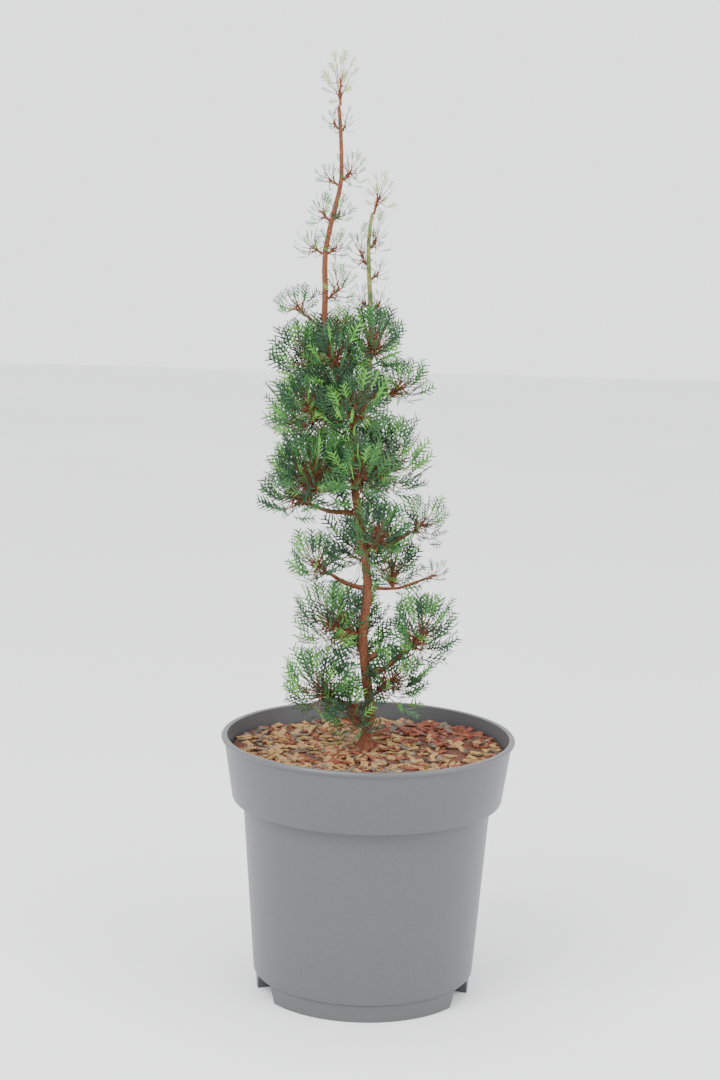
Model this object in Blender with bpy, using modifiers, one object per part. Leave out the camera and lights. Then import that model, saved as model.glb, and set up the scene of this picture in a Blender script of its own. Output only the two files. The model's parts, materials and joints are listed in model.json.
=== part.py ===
"""A young columnar false cypress with two leaders, growing in a round nursery pot.

Units are metres with +Z up. The origin is the middle of the pot's foot, on the
surface it stands on, and -Y is the side that the plant is usually seen from.
Every tuft of foliage is one solid: a stem, twigs that fork from it by a seeded
rule, toothed sprays at the twigs' tips and, where it is dense, a core.
"""
import math
import random

import bmesh
import bpy
from mathutils import Matrix, Vector
from mathutils.bvhtree import BVHTree

MM = 0.001
SEED = 13
CLEAR = 0.3 * MM            # gap between two pieces that touch on the real plant

# Pot
RIM_RADIUS = 110.0 * MM
POT_HEIGHT = 195.0 * MM
LIP_HEIGHT = 4.0 * MM
BAND_TOP_RADIUS = 107.6 * MM
BAND_FOOT_RADIUS = 101.3 * MM
BAND_FOOT_HEIGHT = 146.7 * MM
BODY_TOP_RADIUS = 93.0 * MM
BODY_FOOT_RADIUS = 83.1 * MM
FOOT_HEIGHT = 13.0 * MM
FOOT_RADIUS = 80.6 * MM
FOOT_WIDTH = 9.0 * MM
POT_WALL = 1.9 * MM
BASE_THICKNESS = 2.2 * MM
POT_STEPS = 36
NOTCH_ANGLES = (66.0, 114.0, -66.0, -114.0)     # from the front, in degrees
NOTCH_SPAN = 26.0
DRAIN_RADIUS = 5.0 * MM

# Potting mix
MIX_TOP = 181.0 * MM
MIX_SWELL = 3.2 * MM
MIX_HEAP = 6.5 * MM
MIX_STEPS = 24

# Trunk: way points of its middle line in millimetres, from the mix to the leafy tip
GROUND = 183.5 * MM
TRUNK_WAY = (
    (-2.5, 0, 183.5), (-1.5, 0, 196), (1.5, 0, 210), (-0.5, 0, 225), (-3.5, -1, 246),
    (-6.0, -1, 275), (-3.0, 0, 300), (-5.0, 2, 326), (-11.0, 2, 358), (-16.0, 0, 395),
    (-17.0, -1, 432), (-28.0, -3, 460), (-38.0, -4, 490), (-39.0, -5, 525),
    (-39.5, -5, 553), (-33.0, -5, 585), (-29.0, -4, 605), (-30.5, -4, 640), (-32.0, -4, 656),
)
TRUNK_RADIUS = 4.1
TRUNK_TIP_RADIUS = 1.2
FLARE_RADIUS = 3.0
FLARE_HEIGHT = 9.0
FLARE_LOBES = 4
SNAG_HEIGHT = 251.0         # broken stub of a side shoot
SNAG_LENGTH = 11.0
SNAG_RADIUS = 2.6

LEADER_WAY = (
    (-17.0, -1, 425), (-9.5, 2, 435), (-7.0, 4, 455), (-5.5, 4, 480), (-5.5, 5, 505),
    (-7.5, 5, 535), (-8.5, 4, 560), (-6.5, 4, 580),
)
LEADER_RADIUS = 2.7
LEADER_TIP_RADIUS = 1.2

# Boughs: limb they leave, height there in mm, tuft they carry, radius at the foot and tip
BOUGHS = {
    "bough_top_left": ("trunk", 497, "top_left_arm", 1.5, 1.1),
    "bough_upper_right": ("right_leader", 447, "upper_right_arm", 1.6, 1.1),
    "bough_left": ("trunk", 362, "left_arm", 2.0, 1.3),
    "bough_right": ("trunk", 336, "right_arm", 1.8, 1.2),
    "bough_sprig_right": ("trunk", 306, "right_sprig", 1.4, 0.9),
    "bough_left_low": ("trunk", 305, "left_low_arm", 2.0, 1.3),
    "bough_right_low": ("trunk", 238, "right_low_arm", 2.2, 1.4),
    "bough_base_left": ("trunk", 214, "base_left", 2.0, 1.3),
}

# Foliage: carrying limb, middle and reach of its space in mm, number of sprays, share
# of the reach that a dense core takes (0 where light shows through)
TUFTS = {
    "tip": ("trunk", (-31.5, -4, 673.5), (9, 7, 18), 5, 0),
    "left_leader_a_left": ("trunk", (-36, -4, 644), (4.5, 6, 11), 5, 0.5),
    "left_leader_a_right": ("trunk", (-27, -4, 643), (4.5, 6, 11), 5, 0.5),
    "left_leader_b_left": ("trunk", (-38.5, -4, 605), (7.5, 7, 9), 5, 0.5),
    "left_leader_b_right": ("trunk", (-22, -4, 609), (8, 7.5, 14), 5, 0.5),
    "left_leader_c_left": ("trunk", (-43, -5, 581), (9, 9, 11), 5, 0.55),
    "left_leader_c_right": ("trunk", (-29.5, -4, 580), (7, 9, 12), 5, 0.55),
    "left_leader_d_left": ("trunk", (-50, -5, 556), (9, 9, 11), 5, 0.55),
    "left_leader_d_right": ("trunk", (-31.5, -5, 556), (8.5, 9, 11), 5, 0.55),
    "left_leader_e_right": ("trunk", (-29, -5, 526), (9, 9, 16), 5, 0.5),
    "left_leader_f_right": ("trunk", (-26, -2, 499), (11, 11, 13), 5, 0.5),
    "top_left_arm": ("bough_top_left", (-59, -5, 514), (14, 10, 12), 5, 0.5),
    "right_leader_tip": ("right_leader", (-1, 4, 594), (8, 6, 15), 5, 0),
    "right_leader_a_right": ("right_leader", (-2.5, 3, 563), (6, 7, 17), 5, 0.5),
    "right_leader_a_left": ("right_leader", (-14.5, 4, 552), (7, 7, 20), 5, 0.5),
    "right_leader_b_right": ("right_leader", (-0.5, 4, 538), (5.5, 7, 10), 5, 0.5),
    "right_leader_c_right": ("right_leader", (1, 4, 516), (5.5, 8, 11), 5, 0.5),
    "right_leader_c_left": ("right_leader", (-12.5, 5, 517), (6, 8, 11), 5, 0.5),
    "upper_left": ("trunk", (-56, -3, 477), (15, 18, 22), 5, 0.62),
    "upper_front": ("trunk", (-32, -22, 477), (18, 17, 22), 5, 0.62),
    "upper_back": ("trunk", (-36, 20, 480), (18, 17, 24), 5, 0.62),
    "upper_right_front": ("right_leader", (-2, -13, 488), (15, 16, 22), 5, 0.6),
    "upper_right_back": ("right_leader", (-4, 21, 486), (15, 16, 24), 5, 0.6),
    "upper_right_arm": ("bough_upper_right", (18, 2, 456), (16, 15, 17), 5, 0.5),
    "middle_left_front": ("trunk", (-49, -21, 440), (23, 22, 24), 5, 0.64),
    "middle_left_back": ("trunk", (-49, 21, 440), (22, 22, 24), 5, 0.64),
    "middle_front": ("trunk", (-16, -30, 443), (21, 20, 24), 5, 0.62),
    "middle_back": ("trunk", (-16, 30, 445), (21, 20, 25), 5, 0.62),
    "left_sprig": ("trunk", (-66, -1, 427), (14, 10, 9), 5, 0),
    "lower_left_front": ("trunk", (-45, -22, 395), (25, 22, 24), 5, 0.64),
    "lower_left_back": ("trunk", (-45, 22, 395), (25, 22, 25), 5, 0.64),
    "lower_front": ("trunk", (-11, -32, 394), (20, 20, 26), 5, 0.62),
    "lower_back": ("trunk", (-11, 32, 396), (21, 20, 28), 5, 0.62),
    "lower_right": ("trunk", (13, 1, 400), (19, 21, 30), 5, 0.4),
    "left_arm": ("bough_left", (-61, -6, 375), (18, 17, 19), 5, 0.5),
    "right_arm": ("bough_right", (37, -3, 356), (13, 14, 17), 5, 0.4),
    "front_airy": ("trunk", (4, -20, 350), (18, 16, 20), 5, 0),
    "back_low": ("trunk", (-9, 25, 336), (22, 18, 32), 5, 0.5),
    "left_low_arm": ("bough_left_low", (-42, -5, 325), (15, 17, 20), 5, 0.55),
    "right_airy": ("trunk", (15, 6, 322), (17, 17, 22), 5, 0),
    "right_sprig": ("bough_sprig_right", (47, -2, 318), (10, 7, 9), 5, 0),
    "left_foot": ("trunk", (-32, -5, 281), (20, 19, 25), 5, 0.6),
    "right_low_arm": ("bough_right_low", (38, -4, 274), (20, 21, 26), 5, 0.55),
    "back_foot": ("trunk", (-10, 24, 268), (19, 17, 36), 5, 0.5),
    "base_left": ("bough_base_left", (-37, -10, 232), (22, 21, 26), 5, 0.6),
    "base_front": ("trunk", (-13, -17, 214), (15, 13, 22), 5, 0.55),
    "base_right": ("trunk", (19, -2, 238), (21, 18, 22), 5, 0.45),
}

TWIG_SHARE = 0.5            # how far out in a tuft its twigs end
SPRAY_SHARE = 0.72          # length of a spray against the tuft's reach
LIFT = 0.75                 # how strongly the sprays turn up
TWIG_RADIUS = 1.1
STEM_SHARE = 0.4            # how far above a tuft's middle its stem ends
STEM_RADIUS = 0.9
STEM_TIP_RADIUS = 0.7

BARK = (0.27, 0.12, 0.06)
GREEN_SHOOT = (0.20, 0.30, 0.08)
DEEP_GREEN = (0.02, 0.08, 0.025)
FRESH_GREEN = (0.07, 0.20, 0.03)
POT_GREY = (0.20, 0.20, 0.21)
MIX_BROWN = (0.25, 0.13, 0.06)


def clear_scene():
    for found in list(bpy.data.objects):
        bpy.data.objects.remove(found)


def material(name, colour, roughness):
    made = bpy.data.materials.new(name)
    made.use_nodes = True
    shader = made.node_tree.nodes["Principled BSDF"]
    shader.inputs["Base Color"].default_value = (*colour, 1.0)
    shader.inputs["Roughness"].default_value = roughness
    shader.inputs["Metallic"].default_value = 0.0
    return made


def collection(name):
    made = bpy.data.collections.new(name)
    bpy.context.scene.collection.children.link(made)
    return made


def add_object(name, mesh, into, finish=None):
    made = bpy.data.objects.new(name, mesh)
    into.objects.link(made)
    if finish:
        mesh.materials.clear()
        mesh.materials.append(finish)
    return made


def mesh_from(bm, name):
    mesh = bpy.data.meshes.new(name)
    bm.to_mesh(mesh)
    bm.free()
    return mesh


def evaluated_mesh(source, name):
    """The object as its modifiers or its curve settings make it, in world space."""
    graph = bpy.context.evaluated_depsgraph_get()
    mesh = bpy.data.meshes.new_from_object(source.evaluated_get(graph))
    mesh.name = name
    mesh.transform(source.matrix_world)
    return mesh


def make_helper(helper):
    helper.hide_render = True
    helper.display_type = "WIRE"


def smooth(mesh, angle=40.0):
    mesh.shade_smooth()
    mesh.set_sharp_from_angle(angle=math.radians(angle))


# Pot and potting mix

def turned(name, profile, steps, into):
    """Turn a closed (radius, height) profile about Z; it runs down its outer side first."""
    bm = bmesh.new()
    corners = [bm.verts.new((radius, 0.0, height)) for radius, height in profile]
    for first, second in zip(corners, corners[1:]):
        bm.edges.new((first, second))
    made = add_object(name, mesh_from(bm, name), into)
    screw = made.modifiers.new("turn", "SCREW")
    screw.steps = steps
    screw.render_steps = steps
    screw.use_merge_vertices = True
    screw.merge_threshold = 0.00001
    screw.use_smooth_shade = False
    return made


def pot_profile():
    lip_radius = RIM_RADIUS - 0.8 * MM
    corner = 2.0 * MM
    inner_step = BAND_FOOT_HEIGHT + POT_WALL
    floor = FOOT_HEIGHT + BASE_THICKNESS
    foot_inner = FOOT_RADIUS - FOOT_WIDTH
    return (
        (BAND_TOP_RADIUS - POT_WALL, POT_HEIGHT - 0.6 * MM),
        (BAND_TOP_RADIUS, POT_HEIGHT),
        (lip_radius, POT_HEIGHT - 0.3 * MM),
        (RIM_RADIUS, POT_HEIGHT - 1.6 * MM),
        (lip_radius, POT_HEIGHT - LIP_HEIGHT + 0.5 * MM),
        (BAND_TOP_RADIUS, POT_HEIGHT - LIP_HEIGHT),
        (BAND_FOOT_RADIUS, BAND_FOOT_HEIGHT + corner),
        (BAND_FOOT_RADIUS - 0.7 * MM, BAND_FOOT_HEIGHT + 0.5 * MM),
        (BAND_FOOT_RADIUS - corner, BAND_FOOT_HEIGHT),
        (BODY_TOP_RADIUS, BAND_FOOT_HEIGHT - 0.8 * MM),
        (BODY_FOOT_RADIUS, FOOT_HEIGHT + 1.2 * MM),
        (BODY_FOOT_RADIUS - 1.2 * MM, FOOT_HEIGHT),
        (FOOT_RADIUS + 0.8 * MM, FOOT_HEIGHT - 0.6 * MM),
        (FOOT_RADIUS, 0.0),
        (foot_inner, 0.0),
        (foot_inner - 1.0 * MM, FOOT_HEIGHT),
        (0.0, FOOT_HEIGHT),
        (0.0, floor),
        (BODY_FOOT_RADIUS - POT_WALL - 1.0 * MM, floor),
        (BODY_TOP_RADIUS - POT_WALL, inner_step - 0.8 * MM),
        (BAND_FOOT_RADIUS - POT_WALL, inner_step + 0.5 * MM),
        (BAND_TOP_RADIUS - POT_WALL, POT_HEIGHT - 0.6 * MM),
    )


def notch_cutter(angle, into):
    """A wedge that opens the foot ring: wide at the bottom, narrower at the base plate."""
    middle = FOOT_RADIUS - FOOT_WIDTH / 2
    half = math.radians(NOTCH_SPAN / 2)
    bm = bmesh.new()
    bmesh.ops.create_cube(bm, size=1.0)
    for vert in bm.verts:
        low = vert.co.z < 0
        width = 2 * middle * math.tan(half if low else half * 0.72)
        vert.co.x *= width
        vert.co.y = -middle + vert.co.y * 3 * FOOT_WIDTH
        vert.co.z = -2.0 * MM if low else FOOT_HEIGHT - 0.4 * MM
    bm.transform(Matrix.Rotation(math.radians(angle), 4, "Z"))
    made = add_object("notch_cutter", mesh_from(bm, "notch_cutter"), into)
    make_helper(made)
    return made


def drain_cutter(angle, into):
    """A round drain hole through the base plate, inside the foot ring's notch."""
    reach = FOOT_RADIUS - FOOT_WIDTH - 8.0 * MM
    bm = bmesh.new()
    bmesh.ops.create_cone(bm, cap_ends=True, segments=12, radius1=DRAIN_RADIUS,
                          radius2=DRAIN_RADIUS, depth=8 * BASE_THICKNESS)
    bm.transform(Matrix.Rotation(math.radians(angle), 4, "Z")
                 @ Matrix.Translation((0.0, -reach, FOOT_HEIGHT)))
    made = add_object("drain_cutter", mesh_from(bm, "drain_cutter"), into)
    make_helper(made)
    return made


def build_pot(parts, cutters, finish):
    pot = turned("pot", pot_profile(), POT_STEPS, parts)
    pot.data.materials.append(finish)
    for angle in NOTCH_ANGLES:
        for cutter in (notch_cutter(angle, cutters), drain_cutter(angle, cutters)):
            cut = pot.modifiers.new("cut", "BOOLEAN")
            cut.operation = "DIFFERENCE"
            cut.object = cutter
            cut.solver = "EXACT"
    return pot


def mix_height(x, y):
    """Level of the mulch: low swells, a heap behind on the right, flat round the trunk."""
    swell = math.sin(x / (19 * MM) + 1.0) + math.sin(y / (23 * MM)) + math.sin((x - y) / (31 * MM))
    heap = math.exp(-((x - 48 * MM) ** 2 + (y - 52 * MM) ** 2) / (38 * MM) ** 2)
    level = MIX_TOP + MIX_SWELL * swell / 3 + MIX_HEAP * heap
    foot = Vector(TRUNK_WAY[0]).xy * MM
    near = math.exp(-((Vector((x, y)) - foot).length / (22 * MM)) ** 4)
    return level * (1 - near) + (GROUND - CLEAR) * near


def build_mix(parts, finish):
    """The filled inside of the pot: a turned body whose top is moved to the mulch level."""
    gap = POT_WALL + CLEAR
    step = BAND_FOOT_HEIGHT + POT_WALL
    floor = FOOT_HEIGHT + BASE_THICKNESS + CLEAR
    body_slope = (BODY_TOP_RADIUS - BODY_FOOT_RADIUS) / (BAND_FOOT_HEIGHT - FOOT_HEIGHT)
    band_slope = (BAND_TOP_RADIUS - BAND_FOOT_RADIUS) / (POT_HEIGHT - BAND_FOOT_HEIGHT)
    facet = math.cos(math.pi / POT_STEPS)
    top_radius = (BAND_FOOT_RADIUS + band_slope * (MIX_TOP - BAND_FOOT_HEIGHT) - gap) * facet
    step_radius = (BAND_FOOT_RADIUS - gap) * facet - 0.6 * MM
    neck_radius = (BODY_TOP_RADIUS - gap) * facet - body_slope * 2 * MM
    profile = [(top_radius * share / 6, MIX_TOP) for share in range(7)]
    profile += [
        (step_radius, step + 3.0 * MM),
        (neck_radius, step + 0.6 * MM),
        (neck_radius - 0.2 * MM, step - 3.0 * MM),
        ((BODY_FOOT_RADIUS - gap - 1.2 * MM) * facet, floor),
        (0.0, floor),
    ]
    mix = turned("potting_mix", profile, MIX_STEPS, parts)
    mesh = evaluated_mesh(mix, "potting_mix")
    mix.modifiers.clear()
    for vert in mesh.vertices:
        if vert.co.z > MIX_TOP - 0.1 * MM:
            vert.co.z = mix_height(vert.co.x, vert.co.y)
    mix.data = mesh
    mesh.materials.append(finish)
    return mix


# Limbs

def smooth_way(points, per_span):
    """Points in metres on a Catmull-Rom curve through way points in millimetres."""
    way = [Vector(point) * MM for point in points]
    way = [2 * way[0] - way[1]] + way + [2 * way[-1] - way[-2]]
    line = []
    for before, start, end, after in zip(way, way[1:], way[2:], way[3:]):
        for step in range(per_span):
            t = step / per_span
            line.append(0.5 * ((2 * start) + (end - before) * t
                               + (2 * before - 5 * start + 4 * end - after) * t ** 2
                               + (3 * start - before - 3 * end + after) * t ** 3))
    line.append(way[-2])
    return line


def taper(count, foot, tip):
    """Radii in mm from foot to tip, thinning a little faster towards the tip."""
    return [foot + (tip - foot) * (step / (count - 1)) ** 1.2 for step in range(count)]


class Limb:
    """A tapering limb: its middle line, its radii and the closed mesh round them."""

    def __init__(self, name, line, radii, resolution, parts, finish):
        self.name = name
        self.line = line
        self.radii = [radius * MM for radius in radii]
        curve = bpy.data.curves.new(name, "CURVE")
        curve.dimensions = "3D"
        curve.bevel_depth = MM
        curve.bevel_resolution = resolution
        curve.use_fill_caps = True
        spline = curve.splines.new("POLY")
        spline.points.add(len(line) - 1)
        for point, place, radius in zip(spline.points, line, radii):
            point.co = (*place, 1.0)
            point.radius = radius
        guide = add_object(name + "_line", curve, parts)
        mesh = evaluated_mesh(guide, name)
        bpy.data.objects.remove(guide)
        bm = bmesh.new()
        bm.from_mesh(mesh)
        bmesh.ops.remove_doubles(bm, verts=bm.verts, dist=0.00001)
        bmesh.ops.recalc_face_normals(bm, faces=bm.faces)
        bm.to_mesh(mesh)
        bm.free()
        self.object = add_object(name, mesh, parts, finish)

    def tree(self):
        bm = bmesh.new()
        bm.from_mesh(self.object.data)
        found = BVHTree.FromBMesh(bm)
        bm.free()
        return found

    def at_height(self, height):
        """The middle line's point and radius at a height."""
        for lower, upper, radius in zip(self.line, self.line[1:], self.radii):
            if lower.z <= height <= upper.z:
                share = (height - lower.z) / (upper.z - lower.z)
                return lower.lerp(upper, share), radius
        return self.line[-1], self.radii[-1]


def flare_foot(trunk):
    """Spread the trunk's lowest rings into a few root lobes, with the cut kept flat."""
    foot = trunk.line[0]
    for vert in trunk.object.data.vertices:
        rise = (vert.co.z - GROUND) / (FLARE_HEIGHT * MM)
        if rise > 3:
            continue
        out = Vector((vert.co.x - foot.x, vert.co.y - foot.y, 0.0))
        turn = math.atan2(out.y, out.x)
        spread = FLARE_RADIUS * MM * math.exp(-1.8 * rise) * (1 + 0.35 * math.cos(FLARE_LOBES * turn + 0.6))
        if out.length > 0.5 * MM:
            vert.co += out.normalized() * spread
        if rise < 0.05:
            vert.co.z = GROUND


def fuse(base, others, name):
    """Join overlapping closed meshes into one body, dropping loose scrap and sealed shells."""
    holder = collection(name + "_pieces")
    for other in others:
        for home in list(other.users_collection):
            home.objects.unlink(other)
        holder.objects.link(other)
    for solver in ("EXACT", "MANIFOLD"):
        union = base.modifiers.new("union", "BOOLEAN")
        union.operation = "UNION"
        union.operand_type = "COLLECTION"
        union.collection = holder
        union.solver = solver
        mesh = evaluated_mesh(base, name)
        base.modifiers.clear()
        closed = tidy_body(mesh)
        if closed:
            break
        print(name, solver, "left it open")
    for other in list(holder.objects):
        bpy.data.objects.remove(other)
    bpy.data.collections.remove(holder)
    base.data = mesh


def tidy_body(mesh):
    """Keep the largest closed body of a mesh; say whether the result is closed."""
    bm = bmesh.new()
    bm.from_mesh(mesh)
    bmesh.ops.triangulate(bm, faces=bm.faces)
    bodies = []
    left = set(bm.faces)
    while left:
        body = set()
        edge_of = [left.pop()]
        while edge_of:
            face = edge_of.pop()
            body.add(face)
            for edge in face.edges:
                for near in edge.link_faces:
                    if near in left:
                        left.remove(near)
                        edge_of.append(near)
        bodies.append(body)
    largest = max(bodies, key=len)
    scrap = [face for body in bodies if body is not largest for face in body]
    bmesh.ops.delete(bm, geom=scrap, context="FACES")
    loose = [vert for vert in bm.verts if not vert.link_faces]
    bmesh.ops.delete(bm, geom=loose, context="VERTS")
    closed = all(len(edge.link_faces) == 2 for edge in bm.edges)
    bm.to_mesh(mesh)
    bm.free()
    return closed


def cone_mesh(foot, tip, foot_radius, tip_radius, sides, turn=0.0):
    """A straight tapering twig between two points."""
    axis = tip - foot
    bm = bmesh.new()
    bmesh.ops.create_cone(bm, cap_ends=True, segments=sides, radius1=foot_radius,
                          radius2=tip_radius, depth=axis.length)
    bmesh.ops.remove_doubles(bm, verts=bm.verts, dist=0.00001)
    spin = axis.to_track_quat("Z", "Y").to_matrix().to_4x4() @ Matrix.Rotation(turn, 4, "Z")
    bm.transform(Matrix.Translation((foot + tip) / 2) @ spin)
    return bm


def height_over(tree, point):
    """How far a point is outside a closed surface; below nought inside it."""
    place, normal, _, distance = tree.find_nearest(point)
    return distance if (point - place).dot(normal) > 0 else -distance


def start_clear(trees, root, towards, radius):
    """The first point along a line whose ring of that radius is clear of every limb."""
    direction = (towards - root).normalized()
    side = direction.orthogonal().normalized()
    spokes = [Matrix.Rotation(math.radians(turn), 3, direction) @ side for turn in range(0, 360, 60)]
    reach = 0.0
    while reach < 30 * MM:
        middle = root + direction * reach
        corners = [middle] + [middle + spoke * radius for spoke in spokes]
        if min(height_over(tree, corner) for tree in trees for corner in corners) >= CLEAR:
            return middle
        reach += 0.05 * MM
    return root


def rooted_way(trees, root, way, radius):
    """A smooth line that starts clear of the other limbs and leaves them straight."""
    direction = (way[0] * MM - root).normalized()
    foot = start_clear(trees, root, way[0] * MM, 1.1 * radius)
    return [foot] + smooth_way([(foot + direction * radius) / MM] + way, 2)


def build_boughs(limbs, spaces, parts, finish):
    for name, (carrier, height, tuft, foot_radius, tip_radius) in BOUGHS.items():
        space = spaces[tuft]
        root, _ = limbs[carrier].at_height(height * MM)
        knee = root.lerp(space.middle, 0.5)
        knee.z -= 0.1 * (space.middle - root).length
        inward = (space.middle - knee).normalized()
        tip = space.middle - inward * 0.8 * space.edge_from_middle(-inward)
        knee = root.lerp(knee, 0.5 + 0.5 * (tip - root).length / (space.middle - root).length)
        trees = [limb.tree() for limb in limbs.values()]
        line = rooted_way(trees, root, [knee / MM, tip / MM], foot_radius * MM)
        limbs[name] = Limb(name, line, taper(len(line), foot_radius, tip_radius), 0, parts, finish)


# Foliage

class Space:
    """The room that one tuft keeps to: an ellipsoid cut by a plane towards each neighbour."""

    def __init__(self, name, middle, reach):
        self.name = name
        self.middle = Vector(middle) * MM
        self.reach = Vector(reach) * MM
        self.planes = []

    def reach_along(self, direction):
        scaled = Vector((direction.x * self.reach.x, direction.y * self.reach.y,
                         direction.z * self.reach.z))
        return scaled.length

    def share_with(self, other, gap):
        """Put a plane between two spaces, nearer to the smaller one."""
        across = other.middle - self.middle
        distance = across.length
        direction = across.normalized()
        own = self.reach_along(direction)
        theirs = other.reach_along(-direction)
        if own + theirs < distance:
            return
        self.planes.append((direction, direction.dot(self.middle) + distance * own / (own + theirs) - gap))

    def keeps(self, point):
        return all(direction.dot(point) <= level for direction, level in self.planes)

    def edge_from_middle(self, direction):
        """How far the space goes from its middle in a direction."""
        scaled = Vector((direction.x / self.reach.x, direction.y / self.reach.y,
                         direction.z / self.reach.z))
        far = 1.0 / scaled.length
        for normal, level in self.planes:
            rate = normal.dot(direction)
            if rate > 1e-6:
                far = min(far, (level - normal.dot(self.middle)) / rate)
        return max(far, 0.0)


def golden_direction(index, count, start):
    """Directions spread evenly over a ball, turned by the golden angle from one to the next."""
    height = 1 - 2 * (index + 0.5) / count
    turn = start + index * math.pi * (3 - math.sqrt(5))
    ring = math.sqrt(1 - height ** 2)
    return Vector((ring * math.cos(turn), ring * math.sin(turn), height))


def stem_of(space, limb, trees, guards):
    """Where the tuft's stem leaves its limb, and the stem's end inside the tuft."""
    end = space.middle + Vector((0, 0, STEM_SHARE * space.reach.z))
    if limb.line[-1].z < space.middle.z - 0.4 * space.reach.z or limb.name.startswith("bough"):
        along = (limb.line[-1] - limb.line[-2]).normalized()
        return limb.line[-1] + along * CLEAR, end
    wanted = space.middle.z - 0.45 * space.reach.z
    roots = [start.lerp(stop, share / 4) for start, stop in zip(limb.line, limb.line[1:])
             for share in range(4)]
    roots = [point for point in roots if abs(point.z - space.middle.z) < 1.3 * space.reach.z]
    roots.sort(key=lambda point: abs(point.z - wanted) + 0.2 * (point - space.middle).length)
    for root in roots:
        foot = start_clear(trees, root, space.middle, STEM_RADIUS * MM)
        stem = stem_mesh((foot, end))
        free = not touches(stem, guards)
        stem.free()
        if free:
            return foot, end
    print("no free root for", space.name)
    return foot, end


def grow(space, foot, end, count, rng):
    """Twigs from the stem to evenly spread tips, each leaving the nearest lower twig."""
    steps = 6
    nodes = [foot.lerp(end, step / steps) for step in range(2, steps + 1)]
    start = rng.uniform(0, 2 * math.pi)
    tips = [(end, space.edge_from_middle(Vector((0, 0, 1))))]
    for index in range(count):
        direction = golden_direction(index, count, start)
        edge = space.edge_from_middle(direction)
        tips.append((space.middle + direction * edge * TWIG_SHARE, edge))
    tips.sort(key=lambda tip: (tip[0] - end).length)
    twigs = []
    for tip, edge in tips:
        near = min(nodes, key=lambda node: (tip - node).length + max(0.0, node.z - tip.z) * 1.5)
        twigs.append((near, tip, edge))
        nodes.append(near.lerp(tip, 0.6))
    return twigs


def spray_mesh(root, direction, facing, length, teeth, rng):
    """A toothed blade, thick in its middle and thin along its outline, as a closed fan."""
    normal = (facing - direction * facing.dot(direction)).normalized()
    side = direction.cross(normal)
    spread = math.radians(62)
    hub = 0.38 * length
    outline = [root]
    for tooth in range(2 * teeth - 1):
        turn = -spread + 2 * spread * tooth / (2 * teeth - 2)
        size = (0.66 - 0.16 * abs(turn)) * length * rng.uniform(0.9, 1.06)
        if tooth % 2:
            size *= 0.62
        outline.append(root + direction * (hub + size * math.cos(turn)) + side * size * math.sin(turn))
    thick = 0.075 * length
    centre = root + direction * hub
    bm = bmesh.new()
    ring = [bm.verts.new(point) for point in outline]
    front = bm.verts.new(centre + normal * thick)
    back = bm.verts.new(centre - normal * thick)
    for first, second in zip(ring, ring[1:] + ring[:1]):
        bm.faces.new((first, second, front))
        bm.faces.new((second, first, back))
    bmesh.ops.recalc_face_normals(bm, faces=bm.faces)
    return bm


def core_mesh(space, share, rng):
    """A knobbly ball inside the space, each corner set by how far the space goes there."""
    bm = bmesh.new()
    bmesh.ops.create_icosphere(bm, subdivisions=1, radius=1.0)
    for vert in bm.verts:
        direction = vert.co.normalized()
        vert.co = space.middle + direction * space.edge_from_middle(direction) * share * rng.uniform(0.88, 1.12)
    return bm


def touches(bm, guards):
    tree = BVHTree.FromBMesh(bm)
    return any(tree.overlap(guard) for guard in guards)


def build_tuft(name, stem, guards, space, parts, finish):
    """One tuft of foliage: stem, twigs, sprays and core joined into a single solid."""
    carrier, middle, reach, count, share = TUFTS[name]
    rng = random.Random(f"{SEED} {name}")
    foot, end = stem
    size = min(space.reach)
    pieces = [stem_mesh(stem)]
    if share:
        core = core_mesh(space, share, rng)
        while touches(core, guards) and share > 0.15:
            core.free()
            share *= 0.85
            core = core_mesh(space, share, rng)
        if share > 0.15:
            pieces.append(core)
    for near, tip, edge in grow(space, foot, end, count, rng):
        outward = (tip - space.middle).normalized()
        direction = (0.8 * outward + Vector((0, 0, LIFT))).normalized()
        facing = (outward + 0.6 * Vector([rng.uniform(-1, 1) for _ in range(3)])).normalized()
        twig = cone_mesh(near, tip + direction * 2.5 * MM, TWIG_RADIUS * MM, 0.0, 3, rng.uniform(0, 2))
        if touches(twig, guards) or not all(space.keeps(vert.co) for vert in twig.verts):
            twig.free()
            continue
        pieces.append(twig)
        length = max(SPRAY_SHARE * edge, 4 * MM) * rng.uniform(0.92, 1.08)
        teeth = 4 if size > 9 * MM else 3
        for attempt in range(6):
            spray = spray_mesh(tip - direction * 0.1 * length, direction, facing, length, teeth, rng)
            inside = all(space.keeps(vert.co) for vert in spray.verts)
            if inside and not touches(spray, guards):
                pieces.append(spray)
                break
            spray.free()
            length *= 0.86
            facing = (facing + 0.5 * Vector([rng.uniform(-1, 1) for _ in range(3)])).normalized()
    objects = [add_object(name + "_piece", mesh_from(bm, name), parts) for bm in pieces]
    base = objects[0]
    fuse(base, objects[1:], name)
    base.name = "foliage_" + name
    base.data.name = base.name
    base.data.materials.clear()
    base.data.materials.append(finish)
    return base


def stem_mesh(stem):
    return cone_mesh(*stem, STEM_RADIUS * MM, STEM_TIP_RADIUS * MM, 3)


def share_out():
    """Spaces of all tufts, with a plane between each pair that would meet."""
    spaces = {name: Space(name, row[1], row[2]) for name, row in TUFTS.items()}
    for name, space in spaces.items():
        for other in spaces.values():
            if other is not space:
                space.share_with(other, 0.35 * MM)
    return spaces


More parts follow.
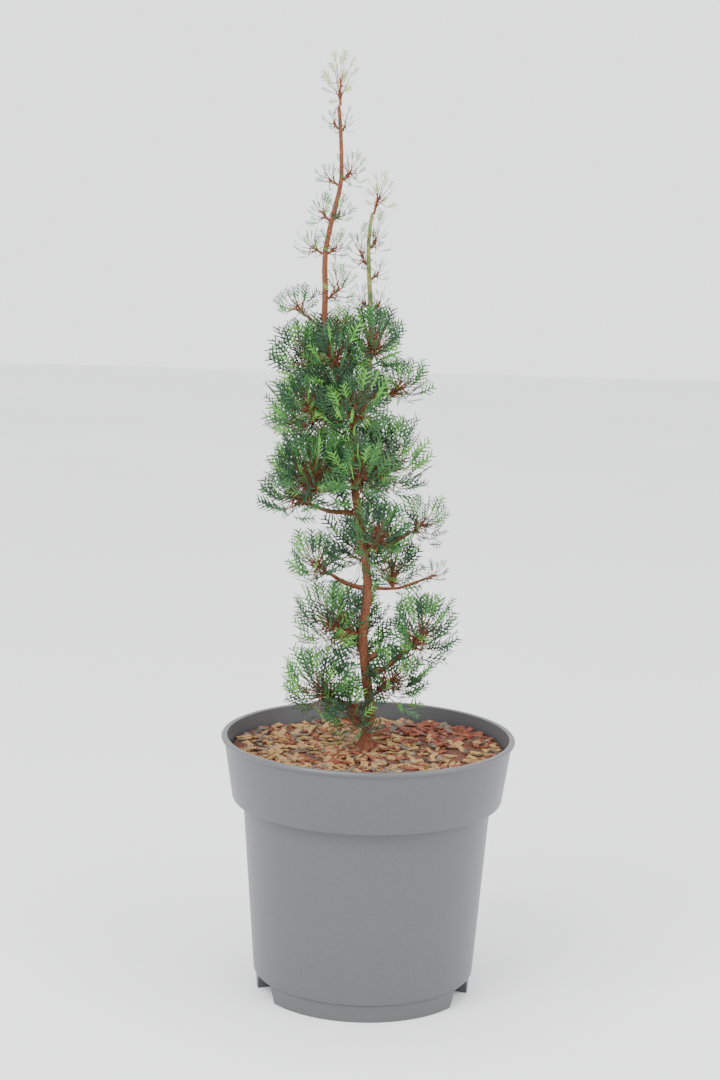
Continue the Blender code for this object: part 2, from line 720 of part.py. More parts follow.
def build_plant(parts):
    bark = material("bark", BARK, 0.85)
    shoot = material("green_shoot", GREEN_SHOOT, 0.6)
    deep = material("deep_foliage", DEEP_GREEN, 0.6)
    fresh = material("fresh_foliage", FRESH_GREEN, 0.55)

    line = smooth_way(TRUNK_WAY, 2)
    line[1].xy = line[0].xy
    trunk = Limb("trunk", line, taper(len(line), TRUNK_RADIUS, TRUNK_TIP_RADIUS), 2, parts, bark)
    flare_foot(trunk)
    root, _ = trunk.at_height(SNAG_HEIGHT * MM)
    snag_tip = root + Vector((0.78, -0.25, 0.57)) * SNAG_LENGTH * MM
    snag = cone_mesh(root, snag_tip, SNAG_RADIUS * MM, 0.75 * SNAG_RADIUS * MM, 6)
    fuse(trunk.object, [add_object("snag", mesh_from(snag, "snag"), parts)], "trunk")
    trunk.object.data.materials.clear()
    trunk.object.data.materials.append(bark)

    limbs = {"trunk": trunk}
    way = [Vector(point) for point in LEADER_WAY]
    line = rooted_way([trunk.tree()], way[0] * MM, way[1:], LEADER_RADIUS * MM)
    limbs["right_leader"] = Limb("right_leader", line, taper(len(line), LEADER_RADIUS, LEADER_TIP_RADIUS),
                                 1, parts, shoot)
    spaces = share_out()
    build_boughs(limbs, spaces, parts, bark)
    guards = [guard_tree(limb.object.data) for limb in limbs.values()]
    trees = [limb.tree() for limb in limbs.values()]
    stems = {}
    stem_guards = {}
    for name, row in TUFTS.items():
        taken = guards + list(stem_guards.values())
        stems[name] = stem_of(spaces[name], limbs[row[0]], trees, taken)
        stem_guards[name] = guard_tree(mesh_from(stem_mesh(stems[name]), name))
    total = 0
    for name in TUFTS:
        leader = "leader" in name or name == "tip"
        others = [guard for owner, guard in stem_guards.items() if owner != name]
        made = build_tuft(name, stems[name], guards + others, spaces[name], parts, fresh if leader else deep)
        total += len(made.data.polygons)
        print(name, len(made.data.polygons))
    print("foliage triangles", total)


def guard_tree(mesh):
    """A limb swollen by the clearance, for testing what would touch it."""
    bm = bmesh.new()
    bm.from_mesh(mesh)
    bm.normal_update()
    for vert in bm.verts:
        vert.co += vert.normal * 0.8 * CLEAR
    found = BVHTree.FromBMesh(bm)
    bm.free()
    return found


def main():
    clear_scene()
    parts = collection("potted_columnar_cypress")
    cutters = collection("cutters")
    build_pot(parts, cutters, material("pot_plastic", POT_GREY, 0.5))
    build_mix(parts, material("potting_mix", MIX_BROWN, 0.95))
    build_plant(parts)


main()
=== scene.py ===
# %% [markdown]
# A young columnar false cypress in a nursery pot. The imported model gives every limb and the
# mix. This script turns the pot finer, grows sprays of scale leaves in a table of rooms, one
# for each mass of foliage, lays bark chips on the mix and gives every surface its finish.

# %% Load the frame
import json
import math
import random

import bmesh
import bpy
from mathutils import Euler, Matrix, Vector
from mathutils.bvhtree import BVHTree

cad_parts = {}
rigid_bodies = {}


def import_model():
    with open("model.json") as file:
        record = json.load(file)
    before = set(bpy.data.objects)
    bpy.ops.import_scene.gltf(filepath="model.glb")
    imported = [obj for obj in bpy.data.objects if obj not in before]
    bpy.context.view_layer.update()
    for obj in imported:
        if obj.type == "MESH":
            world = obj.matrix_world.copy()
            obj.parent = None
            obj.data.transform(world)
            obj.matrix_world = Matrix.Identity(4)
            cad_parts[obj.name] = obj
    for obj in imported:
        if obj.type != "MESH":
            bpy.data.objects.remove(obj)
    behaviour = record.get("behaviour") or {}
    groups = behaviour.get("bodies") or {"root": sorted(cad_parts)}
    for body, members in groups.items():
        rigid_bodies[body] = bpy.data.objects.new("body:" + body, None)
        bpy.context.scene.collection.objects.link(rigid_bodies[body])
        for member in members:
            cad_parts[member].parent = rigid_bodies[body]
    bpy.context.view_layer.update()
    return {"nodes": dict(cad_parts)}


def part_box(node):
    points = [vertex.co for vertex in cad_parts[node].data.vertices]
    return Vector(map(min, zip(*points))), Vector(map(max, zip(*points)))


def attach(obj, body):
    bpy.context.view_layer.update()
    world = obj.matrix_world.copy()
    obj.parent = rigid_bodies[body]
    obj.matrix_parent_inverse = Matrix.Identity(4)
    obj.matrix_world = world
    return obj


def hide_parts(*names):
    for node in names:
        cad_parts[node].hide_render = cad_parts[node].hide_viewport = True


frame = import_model()
MM = 0.001
rng = random.Random(5)
print("nodes in the frame:", len(frame["nodes"]))

# %% [markdown]
# Colours are written as sRGB hex values, as a painter would pick them, and turned to the
# linear values that a shader works in. One function adds a node with settings and links.

# %% Helpers for materials
def linear(text):
    """An sRGB hex colour as linear red, green, blue and alpha."""
    parts = [int(text[start:start + 2], 16) / 255 for start in (1, 3, 5)]
    return (*[part / 12.92 if part <= 0.04045 else ((part + 0.055) / 1.055) ** 2.4 for part in parts], 1.0)


def add_node(tree, kind, settings=None, links=None):
    """Add a node: settings go to its inputs or, where it has no such input, to itself."""
    made = tree.nodes.new(kind)
    for name, value in (settings or {}).items():
        if name in made.inputs:
            made.inputs[name].default_value = value
        else:
            setattr(made, name, value)
    for name, source in (links or {}).items():
        tree.links.new(source, made.inputs[name])
    return made


def surface(name, dark, light, pattern_mm, roughness, relief_mm):
    """A matt natural or moulded surface: two tones and a fine relief from one noise."""
    made = bpy.data.materials.new(name)
    made.use_nodes = True
    tree = made.node_tree
    tree.nodes.clear()
    place = add_node(tree, "ShaderNodeTexCoord")
    noise = add_node(tree, "ShaderNodeTexNoise", {"Scale": 1 / (pattern_mm * MM), "Detail": 4.0},
                     {"Vector": place.outputs["Object"]})
    tones = add_node(tree, "ShaderNodeValToRGB", None, {"Fac": noise.outputs["Fac"]})
    tones.color_ramp.elements[0].position = 0.3
    tones.color_ramp.elements[1].position = 0.7
    tones.color_ramp.elements[0].color = linear(dark)
    tones.color_ramp.elements[1].color = linear(light)
    bump = add_node(tree, "ShaderNodeBump", {"Strength": 0.6, "Distance": relief_mm * MM},
                    {"Height": noise.outputs["Fac"]})
    shader = add_node(tree, "ShaderNodeBsdfPrincipled",
                      {"Roughness": roughness},
                      {"Base Color": tones.outputs["Color"], "Normal": bump.outputs["Normal"]})
    add_node(tree, "ShaderNodeOutputMaterial", None, {"Surface": shader.outputs["BSDF"]})
    return made


# %% [markdown]
# The pot is polypropylene, moulded in a finely grained tool: an even grey with a soft shine.
# The stem has thin red-brown bark that flakes along it. Scale leaves are waxy, so deep green
# ones shine a little, and the newest tips are yellow-green.

# %% Finishes
pot_plastic = surface("moulded polypropylene", "#474749", "#4e4e50", 1.2, 0.42, 0.05)
bark = surface("young conifer bark", "#452716", "#7c4526", 1.6, 0.85, 0.5)
shoot = surface("green young shoot", "#55562a", "#7c7e3e", 2.0, 0.6, 0.2)
mulch = surface("coir and composted bark", "#2a1a10", "#63331d", 2.5, 0.95, 1.2)
deep_leaf = surface("deep green scale leaf", "#12301a", "#1d4222", 6.0, 0.5, 0.1)
mid_leaf = surface("mid green scale leaf", "#1f4a25", "#34682c", 6.0, 0.5, 0.1)
fresh_leaf = surface("fresh green scale leaf", "#3f7a2e", "#66a03c", 6.0, 0.5, 0.1)
young_leaf = surface("yellow-green young leaf", "#6b8235", "#93a34c", 6.0, 0.55, 0.1)
chip_tan = surface("weathered wood chip", "#6e5334", "#a5834f", 2.0, 0.9, 0.3)
chip_brown = surface("red-brown bark chip", "#54281a", "#84432a", 2.0, 0.9, 0.3)
chip_grey = surface("grey-brown bark chip", "#463d34", "#6e6254", 2.0, 0.9, 0.3)

# %% Finishes of the nodes that stay
for name, thing in frame["nodes"].items():
    if name.startswith("foliage"):
        continue
    kept = pot_plastic if name == "pot" else mulch if name == "potting_mix" else bark
    if name == "right_leader":
        kept = shoot
    thing.data.materials.clear()
    thing.data.materials.append(kept)

# %% [markdown]
# The pot is turned again from the model's own profile, with four times as many steps, so
# that its wall is round. Wedges open the foot ring and cylinders make the drain holes.

# %% Turn the pot
RIM_RADIUS = 110.0 * MM
POT_HEIGHT = 195.0 * MM
LIP_HEIGHT = 4.0 * MM
BAND_TOP_RADIUS = 107.6 * MM
BAND_FOOT_RADIUS = 101.3 * MM
BAND_FOOT_HEIGHT = 146.7 * MM
BODY_TOP_RADIUS = 93.0 * MM
BODY_FOOT_RADIUS = 83.1 * MM
FOOT_HEIGHT = 13.0 * MM
FOOT_RADIUS = 80.6 * MM
FOOT_WIDTH = 9.0 * MM
POT_WALL = 1.9 * MM
BASE_THICKNESS = 2.2 * MM
POT_STEPS = 144
NOTCH_ANGLES = (66.0, 114.0, -66.0, -114.0)     # from the front, in degrees
NOTCH_SPAN = 26.0
DRAIN_RADIUS = 5.0 * MM


def placed(name, bm):
    """A new object in the scene from a bmesh, which is freed."""
    mesh = bpy.data.meshes.new(name)
    bm.to_mesh(mesh)
    bm.free()
    made = bpy.data.objects.new(name, mesh)
    bpy.context.scene.collection.objects.link(made)
    return made


def turned(name, profile, steps):
    """Turn a closed (radius, height) profile about Z; it runs down its outer side first."""
    bm = bmesh.new()
    corners = [bm.verts.new((radius, 0.0, height)) for radius, height in profile]
    for first, second in zip(corners, corners[1:]):
        bm.edges.new((first, second))
    made = placed(name, bm)
    screw = made.modifiers.new("turn", "SCREW")
    screw.steps = steps
    screw.render_steps = steps
    screw.use_merge_vertices = True
    screw.merge_threshold = 0.00001
    screw.use_smooth_shade = False
    return made


def pot_profile():
    lip_radius = RIM_RADIUS - 0.8 * MM
    corner = 2.0 * MM
    inner_step = BAND_FOOT_HEIGHT + POT_WALL
    floor = FOOT_HEIGHT + BASE_THICKNESS
    foot_inner = FOOT_RADIUS - FOOT_WIDTH
    return (
        (BAND_TOP_RADIUS - POT_WALL, POT_HEIGHT - 0.6 * MM),
        (BAND_TOP_RADIUS, POT_HEIGHT),
        (lip_radius, POT_HEIGHT - 0.3 * MM),
        (RIM_RADIUS, POT_HEIGHT - 1.6 * MM),
        (lip_radius, POT_HEIGHT - LIP_HEIGHT + 0.5 * MM),
        (BAND_TOP_RADIUS, POT_HEIGHT - LIP_HEIGHT),
        (BAND_FOOT_RADIUS, BAND_FOOT_HEIGHT + corner),
        (BAND_FOOT_RADIUS - 0.7 * MM, BAND_FOOT_HEIGHT + 0.5 * MM),
        (BAND_FOOT_RADIUS - corner, BAND_FOOT_HEIGHT),
        (BODY_TOP_RADIUS, BAND_FOOT_HEIGHT - 0.8 * MM),
        (BODY_FOOT_RADIUS, FOOT_HEIGHT + 1.2 * MM),
        (BODY_FOOT_RADIUS - 1.2 * MM, FOOT_HEIGHT),
        (FOOT_RADIUS + 0.8 * MM, FOOT_HEIGHT - 0.6 * MM),
        (FOOT_RADIUS, 0.0),
        (foot_inner, 0.0),
        (foot_inner - 1.0 * MM, FOOT_HEIGHT),
        (0.0, FOOT_HEIGHT),
        (0.0, floor),
        (BODY_FOOT_RADIUS - POT_WALL - 1.0 * MM, floor),
        (BODY_TOP_RADIUS - POT_WALL, inner_step - 0.8 * MM),
        (BAND_FOOT_RADIUS - POT_WALL, inner_step + 0.5 * MM),
        (BAND_TOP_RADIUS - POT_WALL, POT_HEIGHT - 0.6 * MM),
    )


def notch_cutter(angle):
    """A wedge that opens the foot ring: wide at the bottom, narrower at the base plate."""
    middle = FOOT_RADIUS - FOOT_WIDTH / 2
    half = math.radians(NOTCH_SPAN / 2)
    bm = bmesh.new()
    bmesh.ops.create_cube(bm, size=1.0)
    for vert in bm.verts:
        low = vert.co.z < 0
        width = 2 * middle * math.tan(half if low else half * 0.72)
        vert.co.x *= width
        vert.co.y = -middle + vert.co.y * 3 * FOOT_WIDTH
        vert.co.z = -2.0 * MM if low else FOOT_HEIGHT - 0.4 * MM
    bm.transform(Matrix.Rotation(math.radians(angle), 4, "Z"))
    made = placed("notch_cutter", bm)
    return made


def drain_cutter(angle):
    """A round drain hole through the base plate, inside the foot ring's notch."""
    reach = FOOT_RADIUS - FOOT_WIDTH - 8.0 * MM
    bm = bmesh.new()
    bmesh.ops.create_cone(bm, cap_ends=True, segments=12, radius1=DRAIN_RADIUS,
                          radius2=DRAIN_RADIUS, depth=8 * BASE_THICKNESS)
    bm.transform(Matrix.Rotation(math.radians(angle), 4, "Z")
                 @ Matrix.Translation((0.0, -reach, FOOT_HEIGHT)))
    made = placed("drain_cutter", bm)
    return made


pot = turned("turned_pot", pot_profile(), POT_STEPS)
cutters = [make(angle) for angle in NOTCH_ANGLES for make in (notch_cutter, drain_cutter)]
for cutter in cutters:
    cut = pot.modifiers.new("cut", "BOOLEAN")
    cut.operation = "DIFFERENCE"
    cut.object = cutter
    cut.solver = "EXACT"
pot_mesh = bpy.data.meshes.new_from_object(pot.evaluated_get(bpy.context.evaluated_depsgraph_get()))
pot.modifiers.clear()
pot.data = pot_mesh
for cutter in cutters:
    bpy.data.objects.remove(cutter)
pot_mesh.materials.clear()
pot_mesh.materials.append(pot_plastic)
pot_mesh.shade_smooth()
pot_mesh.set_sharp_from_angle(angle=math.radians(35))
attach(pot, "root")
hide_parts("pot")
print("pot faces:", len(pot_mesh.polygons))

# %% [markdown]
# A spray is a flat fan: one axis with shorter branchlets to both sides in turn. Each is a
# flattened cord whose width swells and narrows with its overlapping scale leaves.

# %% Sprays of scale leaves
def add_cord(bm, foot, tip, width, scales):
    """A flattened four-sided cord with a zigzag outline, pointed at its tip."""
    along = (tip - foot).normalized()
    side = along.cross(Vector((0, 1, 0))).normalized()
    flat = side.cross(along)
    rings = []
    for step in range(2 * scales + 1):
        share = step / (2 * scales + 1)
        half = width * (1.0 if step % 2 else 0.62) * (1 - 0.45 * share)
        middle = foot.lerp(tip, share)
        rings.append([bm.verts.new(middle + turn) for turn in
                      (side * half, flat * half * 0.5, -side * half, -flat * half * 0.5)])
    for lower, upper in zip(rings, rings[1:]):
        for corner in range(4):
            after = (corner + 1) % 4
            bm.faces.new((lower[corner], lower[after], upper[after], upper[corner]))
    point = bm.verts.new(tip)
    for corner in range(4):
        bm.faces.new((rings[-1][corner], rings[-1][(corner + 1) % 4], point))
    bm.faces.new(list(reversed(rings[0])))


def spray_mesh(name, seed):
    """One spray, one unit long, growing along +Z and flat across Y."""
    own = random.Random(seed)
    bm = bmesh.new()
    add_cord(bm, Vector((0, 0, 0)), Vector((0.02, 0, 1)), 0.05, 4)
    for branch in range(7):
        height = 0.12 + 0.115 * branch
        way = 1 if branch % 2 else -1
        reach = (0.52 - 0.4 * abs(height - 0.35)) * own.uniform(0.85, 1.1)
        lean = math.radians(own.uniform(38, 52))
        droop = own.uniform(-0.12, 0.12)
        tip = Vector((way * reach * math.sin(lean), droop * reach, height + reach * math.cos(lean)))
        add_cord(bm, Vector((0, 0, height)), tip, 0.045, 2)
    bmesh.ops.recalc_face_normals(bm, faces=bm.faces)
    mesh = bpy.data.meshes.new(name)
    bm.to_mesh(mesh)
    bm.free()
    return mesh


def make_library(name, meshes):
    """A collection of shapes for Geometry Nodes to pick from, kept out of the scene."""
    made = bpy.data.collections.new(name)
    for mesh in meshes:
        made.objects.link(bpy.data.objects.new(mesh.name, mesh))
    return made


sprays = make_library("spray shapes", [spray_mesh(f"spray {seed}", seed) for seed in range(6)])

# %% [markdown]
# Geometry Nodes put a shape on every point. Each point carries its turn, its size and which
# shape it takes, so the script decides how the plant grows and the tree only repeats.

# %% The tree that repeats a shape on points
def repeat_tree(name, library):
    tree = bpy.data.node_groups.new(name, "GeometryNodeTree")
    tree.interface.new_socket("Points", in_out="INPUT", socket_type="NodeSocketGeometry")
    size = tree.interface.new_socket("Size", in_out="INPUT", socket_type="NodeSocketFloat")
    finish = tree.interface.new_socket("Finish", in_out="INPUT", socket_type="NodeSocketMaterial")
    tree.interface.new_socket("Shapes", in_out="OUTPUT", socket_type="NodeSocketGeometry")
    given = add_node(tree, "NodeGroupInput")
    turn = add_node(tree, "GeometryNodeInputNamedAttribute", {"data_type": "FLOAT_VECTOR"})
    turn.inputs["Name"].default_value = "turn"
    grown = add_node(tree, "GeometryNodeInputNamedAttribute", {"data_type": "FLOAT_VECTOR"})
    grown.inputs["Name"].default_value = "grown"
    kind = add_node(tree, "GeometryNodeInputNamedAttribute", {"data_type": "INT"})
    kind.inputs["Name"].default_value = "kind"
    scaled = add_node(tree, "ShaderNodeVectorMath", {"operation": "SCALE"},
                      {"Vector": grown.outputs["Attribute"], "Scale": given.outputs["Size"]})
    turned = add_node(tree, "FunctionNodeEulerToRotation", None, {"Euler": turn.outputs["Attribute"]})
    shapes = add_node(tree, "GeometryNodeCollectionInfo")
    shapes.inputs["Collection"].default_value = library
    shapes.inputs["Separate Children"].default_value = True
    shapes.inputs["Reset Children"].default_value = True
    put = add_node(tree, "GeometryNodeInstanceOnPoints", None, {
        "Points": given.outputs["Points"], "Instance": shapes.outputs["Instances"],
        "Instance Index": kind.outputs["Attribute"], "Rotation": turned.outputs["Rotation"],
        "Scale": scaled.outputs["Vector"]})
    put.inputs["Pick Instance"].default_value = True
    real = add_node(tree, "GeometryNodeRealizeInstances", None, {"Geometry": put.outputs["Instances"]})
    coated = add_node(tree, "GeometryNodeSetMaterial", None,
                      {"Geometry": real.outputs["Geometry"], "Material": given.outputs["Finish"]})
    add_node(tree, "NodeGroupOutput", None, {"Shapes": coated.outputs["Geometry"]})
    return tree, size.identifier, finish.identifier


def repeat(name, tree_parts, rows, size, finish):
    """A plain mesh with one shape for each row of (place, turn, growth, kind)."""
    tree, size_id, finish_id = tree_parts
    mesh = bpy.data.meshes.new(name)
    mesh.from_pydata([row[0] for row in rows], [], [])
    # All three are made before any is filled, because adding one moves the others.
    for label, sort in (("turn", "FLOAT_VECTOR"), ("grown", "FLOAT_VECTOR"), ("kind", "INT")):
        mesh.attributes.new(label, sort, "POINT")
    mesh.attributes["turn"].data.foreach_set("vector", [value for row in rows for value in row[1]])
    mesh.attributes["grown"].data.foreach_set("vector", [value for row in rows for value in row[2]])
    mesh.attributes["kind"].data.foreach_set("value", [row[3] for row in rows])
    thing = bpy.data.objects.new(name, mesh)
    bpy.context.scene.collection.objects.link(thing)
    grow = thing.modifiers.new("repeat", "NODES")
    grow.node_group = tree
    grow[size_id] = size
    grow[finish_id] = finish
    made = bpy.data.meshes.new_from_object(thing.evaluated_get(bpy.context.evaluated_depsgraph_get()))
    made.name = name
    thing.modifiers.remove(grow)
    thing.data = made
    print(name, "faces:", len(made.polygons))
    return thing


# %% [markdown]
# Sprays stand all through the room of each mass, turn outwards and reach up. The ones further out are
# fresher, and those on the leaders are yellow-green. Those further in are more often deep green: partly
# older leaves, partly painted shade inside the crown.

# %% Where the sprays stand
# Middle and reach of each mass's room in millimetres, as the CAD's growth rule has them
ROOMS = {
    "tip": ((-31.5, -4, 673.5), (9, 7, 18)),
    "left_leader_a_left": ((-36, -4, 644), (4.5, 6, 11)),
    "left_leader_a_right": ((-27, -4, 643), (4.5, 6, 11)),
    "left_leader_b_left": ((-38.5, -4, 605), (7.5, 7, 9)),
    "left_leader_b_right": ((-22, -4, 609), (8, 7.5, 14)),
    "left_leader_c_left": ((-43, -5, 581), (9, 9, 11)),
    "left_leader_c_right": ((-29.5, -4, 580), (7, 9, 12)),
    "left_leader_d_left": ((-50, -5, 556), (9, 9, 11)),
    "left_leader_d_right": ((-31.5, -5, 556), (8.5, 9, 11)),
    "left_leader_e_right": ((-29, -5, 526), (9, 9, 16)),
    "left_leader_f_right": ((-26, -2, 499), (11, 11, 13)),
    "top_left_arm": ((-59, -5, 514), (14, 10, 12)),
    "right_leader_tip": ((-1, 4, 594), (8, 6, 15)),
    "right_leader_a_right": ((-2.5, 3, 563), (6, 7, 17)),
    "right_leader_a_left": ((-14.5, 4, 552), (7, 7, 20)),
    "right_leader_b_right": ((-0.5, 4, 538), (5.5, 7, 10)),
    "right_leader_c_right": ((1, 4, 516), (5.5, 8, 11)),
    "right_leader_c_left": ((-12.5, 5, 517), (6, 8, 11)),
    "upper_left": ((-56, -3, 477), (15, 18, 22)),
    "upper_front": ((-32, -22, 477), (18, 17, 22)),
    "upper_back": ((-36, 20, 480), (18, 17, 24)),
    "upper_right_front": ((-2, -13, 488), (15, 16, 22)),
    "upper_right_back": ((-4, 21, 486), (15, 16, 24)),
    "upper_right_arm": ((18, 2, 456), (16, 15, 17)),
    "middle_left_front": ((-49, -21, 440), (23, 22, 24)),
    "middle_left_back": ((-49, 21, 440), (22, 22, 24)),
    "middle_front": ((-16, -30, 443), (21, 20, 24)),
    "middle_back": ((-16, 30, 445), (21, 20, 25)),
    "left_sprig": ((-66, -1, 427), (14, 10, 9)),
    "lower_left_front": ((-45, -22, 395), (25, 22, 24)),
    "lower_left_back": ((-45, 22, 395), (25, 22, 25)),
    "lower_front": ((-11, -32, 394), (20, 20, 26)),
    "lower_back": ((-11, 32, 396), (21, 20, 28)),
    "lower_right": ((13, 1, 400), (19, 21, 30)),
    "left_arm": ((-61, -6, 375), (18, 17, 19)),
    "right_arm": ((37, -3, 356), (13, 14, 17)),
    "front_airy": ((4, -20, 350), (18, 16, 20)),
    "back_low": ((-9, 25, 336), (22, 18, 32)),
    "left_low_arm": ((-42, -5, 325), (15, 17, 20)),
    "right_airy": ((15, 6, 322), (17, 17, 22)),
    "right_sprig": ((47, -2, 318), (10, 7, 9)),
    "left_foot": ((-32, -5, 281), (20, 19, 25)),
    "right_low_arm": ((38, -4, 274), (20, 21, 26)),
    "back_foot": ((-10, 24, 268), (19, 17, 36)),
    "base_left": ((-37, -10, 232), (22, 21, 26)),
    "base_front": ((-13, -17, 214), (15, 13, 22)),
    "base_right": ((19, -2, 238), (21, 18, 22)),
}
SPRAY_LENGTH = 16 * MM
LIFT = 0.75                      # how strongly the sprays turn up
SPRAYS_PER_AREA = 0.2            # for each square mm of a mass's mean reach, squared
MIX_CLEAR = 190 * MM             # no spray starts lower than this
groups = {"deep": [], "mid": [], "fresh": [], "young": []}
twigs = bmesh.new()


def add_twig(foot, tip, radius):
    """A thin pointed twig between two points."""
    axis = tip - foot
    if axis.length < 2 * radius:
        return
    spin = axis.to_track_quat("Z", "Y").to_matrix().to_4x4()
    bmesh.ops.create_cone(twigs, cap_ends=True, segments=4, radius1=radius, radius2=0.35 * radius,
                          depth=axis.length, matrix=Matrix.Translation((foot + tip) / 2) @ spin)


limb_mesh = bmesh.new()
for name, thing in frame["nodes"].items():
    if name.startswith("bough") or name in ("trunk", "right_leader"):
        limb_mesh.from_mesh(thing.data)
limbs = BVHTree.FromBMesh(limb_mesh)
limb_mesh.free()

for room, (middle, reach) in ROOMS.items():
    name = "foliage_" + room
    middle = Vector(middle) * MM
    reach = Vector(reach) * MM
    mean = (reach.x * reach.y * reach.z) ** (1 / 3) / MM
    count = max(9, int(SPRAYS_PER_AREA * mean ** 2))
    young = name in ("foliage_tip", "foliage_right_leader_tip")
    leader = "leader" in name or young
    stem_foot = limbs.find_nearest(middle - Vector((0, 0, 0.45 * reach.z)))[0]
    add_twig(stem_foot, middle, 1.0 * MM)
    for index in range(count):
        level = 1 - 2 * (index + 0.5) / count
        turn = index * math.pi * (3 - math.sqrt(5))
        ring = math.sqrt(1 - level ** 2)
        out = Vector((ring * math.cos(turn), ring * math.sin(turn), level))
        share = rng.uniform(0.2, 1.0) ** 0.6
        place = middle + Vector((out.x * reach.x, out.y * reach.y, out.z * reach.z)) * share
        length = min(SPRAY_LENGTH, 0.85 * mean * MM) * rng.uniform(0.75, 1.15)
        up = (0.8 * out + Vector((0, 0, LIFT))).normalized()
        place.z = max(min(place.z, middle.z + reach.z - 0.6 * length), MIX_CLEAR)
        spin = up.to_track_quat("Z", "Y") @ Euler((0, 0, rng.uniform(0, math.tau))).to_quaternion()
        row = (place, tuple(spin.to_euler()), (length, length, length), rng.randrange(6))
        # Tone follows share: inner sprays are more often deep green, partly older leaves and partly painted
        # shade inside the crown.
        chance = rng.random()
        if young:
            groups["young"].append(row)
        elif chance < (0.35 if leader else 0.22) * (share + 0.35):
            groups["fresh"].append(row)
        elif chance < 0.75 * share + 0.1:
            groups["mid"].append(row)
        else:
            groups["deep"].append(row)
        add_twig(stem_foot.lerp(middle, rng.random()), place, 0.45 * MM)
print({name: len(rows) for name, rows in groups.items()})

# %% Grow the foliage
PIECE_LIMIT = 190000             # triangles in one piece
spray_tree = repeat_tree("sprays on points", sprays)
spray_triangles = sum(len(face.vertices) - 2 for face in sprays.objects[0].data.polygons)
per_piece = PIECE_LIMIT // spray_triangles
leaves = {"deep": deep_leaf, "mid": mid_leaf, "fresh": fresh_leaf, "young": young_leaf}
for tone, rows in groups.items():
    for start in range(0, len(rows), per_piece):
        piece = repeat(f"{tone}_sprays_{start // per_piece + 1}", spray_tree,
                       rows[start:start + per_piece], 1.0, leaves[tone])
        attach(piece, "root")

young_nodes = ["foliage_tip", "foliage_right_leader_tip"]
masses = [name for name in frame["nodes"] if name.startswith("foliage") and name not in young_nodes]
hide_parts(*masses)
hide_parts(*young_nodes)

mesh = bpy.data.meshes.new("twigs")
bmesh.ops.recalc_face_normals(twigs, faces=twigs.faces)
twigs.to_mesh(mesh)
twigs.free()
mesh.materials.append(bark)
twig_piece = bpy.data.objects.new("twigs", mesh)
bpy.context.scene.collection.objects.link(twig_piece)
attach(twig_piece, "root")

# %% [markdown]
# The mix is topped with split chips of wood and bark, all sizes, lying as they fell. Each
# chip is put at the height of the mix under it.

# %% Chips on the mix
def chip_mesh(name, seed):
    """A splintered chip, one unit long: a thin box with its ends cut askew."""
    own = random.Random(seed)
    bm = bmesh.new()
    bmesh.ops.create_cube(bm, size=1.0)
    for vert in bm.verts:
        vert.co.x *= own.uniform(0.8, 1.0)
        vert.co.y *= own.uniform(0.22, 0.42)
        vert.co.z *= own.uniform(0.08, 0.16)
    mesh = bpy.data.meshes.new(name)
    bm.to_mesh(mesh)
    bm.free()
    return mesh


chips = make_library("chip shapes", [chip_mesh(f"chip {seed}", seed) for seed in range(6)])
mix = frame["nodes"]["potting_mix"]
bm = bmesh.new()
bm.from_mesh(mix.data)
mix_surface = BVHTree.FromBMesh(bm)
bm.free()
CHIP_COUNT = 1500
HEAP_PLACE = (48 * MM, 52 * MM)   # red-brown coir lies in a heap behind on the right
HEAP_SPREAD = 38 * MM
MIX_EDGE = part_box("potting_mix")[1][0] - 5 * MM
chip_rows = {"tan": [], "brown": [], "grey": []}
for index in range(CHIP_COUNT):
    ring = MIX_EDGE * math.sqrt(rng.random())
    turn = rng.uniform(0, math.tau)
    spot = Vector((ring * math.cos(turn), ring * math.sin(turn), 0.25))
    found = mix_surface.ray_cast(spot, Vector((0, 0, -1)))[0]
    if found is None:
        continue
    length = rng.uniform(4, 13) * MM
    tilt = (rng.uniform(-0.35, 0.35), rng.uniform(-0.35, 0.35), rng.uniform(0, math.tau))
    chance = rng.random()
    off_heap = (found.x - HEAP_PLACE[0]) ** 2 + (found.y - HEAP_PLACE[1]) ** 2
    heap = math.exp(-off_heap / HEAP_SPREAD ** 2)
    tone = "brown" if chance < 0.25 + 0.6 * heap else "grey" if chance > 0.8 else "tan"
    chip_rows[tone].append((found + Vector((0, 0, rng.uniform(0, 1.5) * MM)), tilt,
                            (length, length, length), rng.randrange(6)))
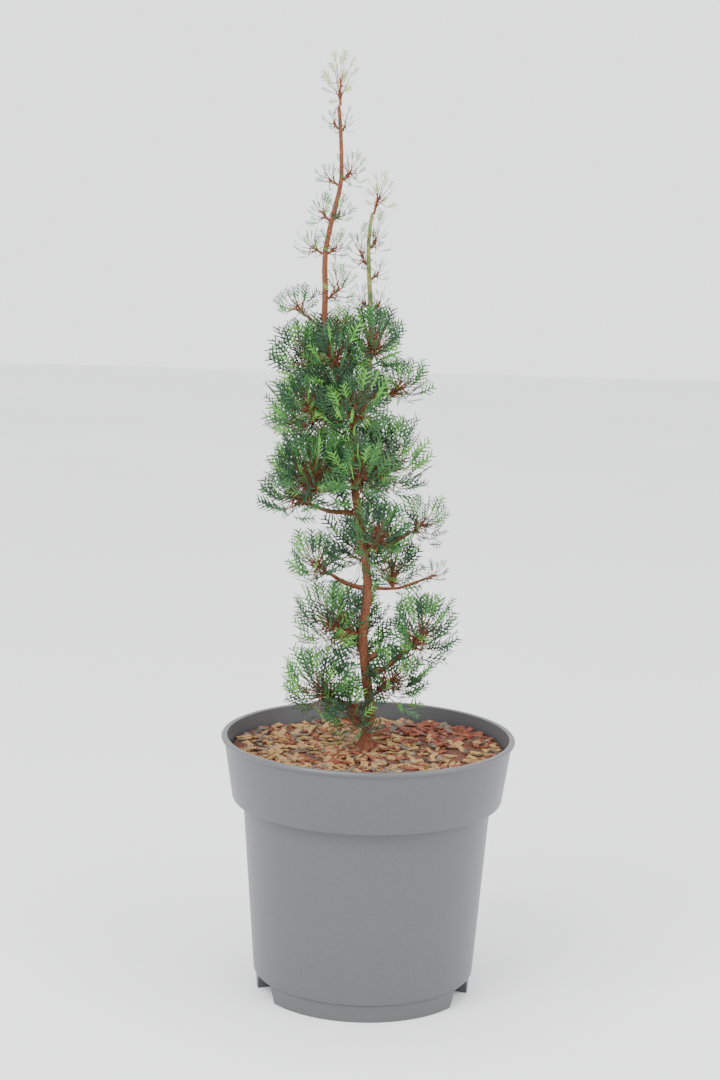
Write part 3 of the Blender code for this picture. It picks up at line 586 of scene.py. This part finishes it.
chip_tree = repeat_tree("chips on points", chips)
for tone, finish in (("tan", chip_tan), ("brown", chip_brown), ("grey", chip_grey)):
    piece = repeat(f"{tone}_chips", chip_tree, chip_rows[tone], 1.0, finish)
    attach(piece, "root")

# %% [markdown]
# A white studio: a pale floor, a bright sky and two large soft lights.

# %% Studio and camera
floor_mesh = bpy.data.meshes.new("floor")
floor_mesh.from_pydata([(-6, -6, 0), (6, -6, 0), (6, 6, 0), (-6, 6, 0)], [], [(0, 1, 2, 3)])
floor_mesh.materials.append(surface("white paper floor", "#e9e9ea", "#eeeeef", 900.0, 0.8, 0.01))
floor = bpy.data.objects.new("floor", floor_mesh)
bpy.context.scene.collection.objects.link(floor)

world = bpy.data.worlds.new("studio")
bpy.context.scene.world = world
world.use_nodes = True
world.node_tree.nodes["Background"].inputs["Color"].default_value = linear("#f4f5f7")
world.node_tree.nodes["Background"].inputs["Strength"].default_value = 2.3

for name, place, power, width in (("key", (-1.2, -1.4, 1.9), 60, 1.4), ("fill", (1.5, -1.0, 1.3), 26, 1.6)):
    lamp = bpy.data.lights.new(name, "AREA")
    lamp.energy = power
    lamp.size = width
    light = bpy.data.objects.new(name, lamp)
    light.location = place
    light.rotation_euler = (Vector((0, 0, 0.35)) - Vector(place)).to_track_quat("-Z", "Y").to_euler()
    bpy.context.scene.collection.objects.link(light)

DOWN = 0.1573                    # radians that the camera looks down
ROLL = 0.0237
CAMERA_PLACE = Vector((-0.00963, -1.53145, 0.58496))
s, c = math.sin(ROLL), math.cos(ROLL)
right = Vector((c, s * math.sin(DOWN), s * math.cos(DOWN)))
up = Vector((-s, c * math.sin(DOWN), c * math.cos(DOWN)))
back = Vector((0, -math.cos(DOWN), math.sin(DOWN)))
lens = bpy.data.cameras.new("camera")
lens.lens = 70
camera = bpy.data.objects.new("camera", lens)
columns = Matrix((right, up, back)).transposed().to_4x4()
camera.matrix_world = Matrix.Translation(CAMERA_PLACE) @ columns
bpy.context.scene.collection.objects.link(camera)
bpy.context.scene.camera = camera
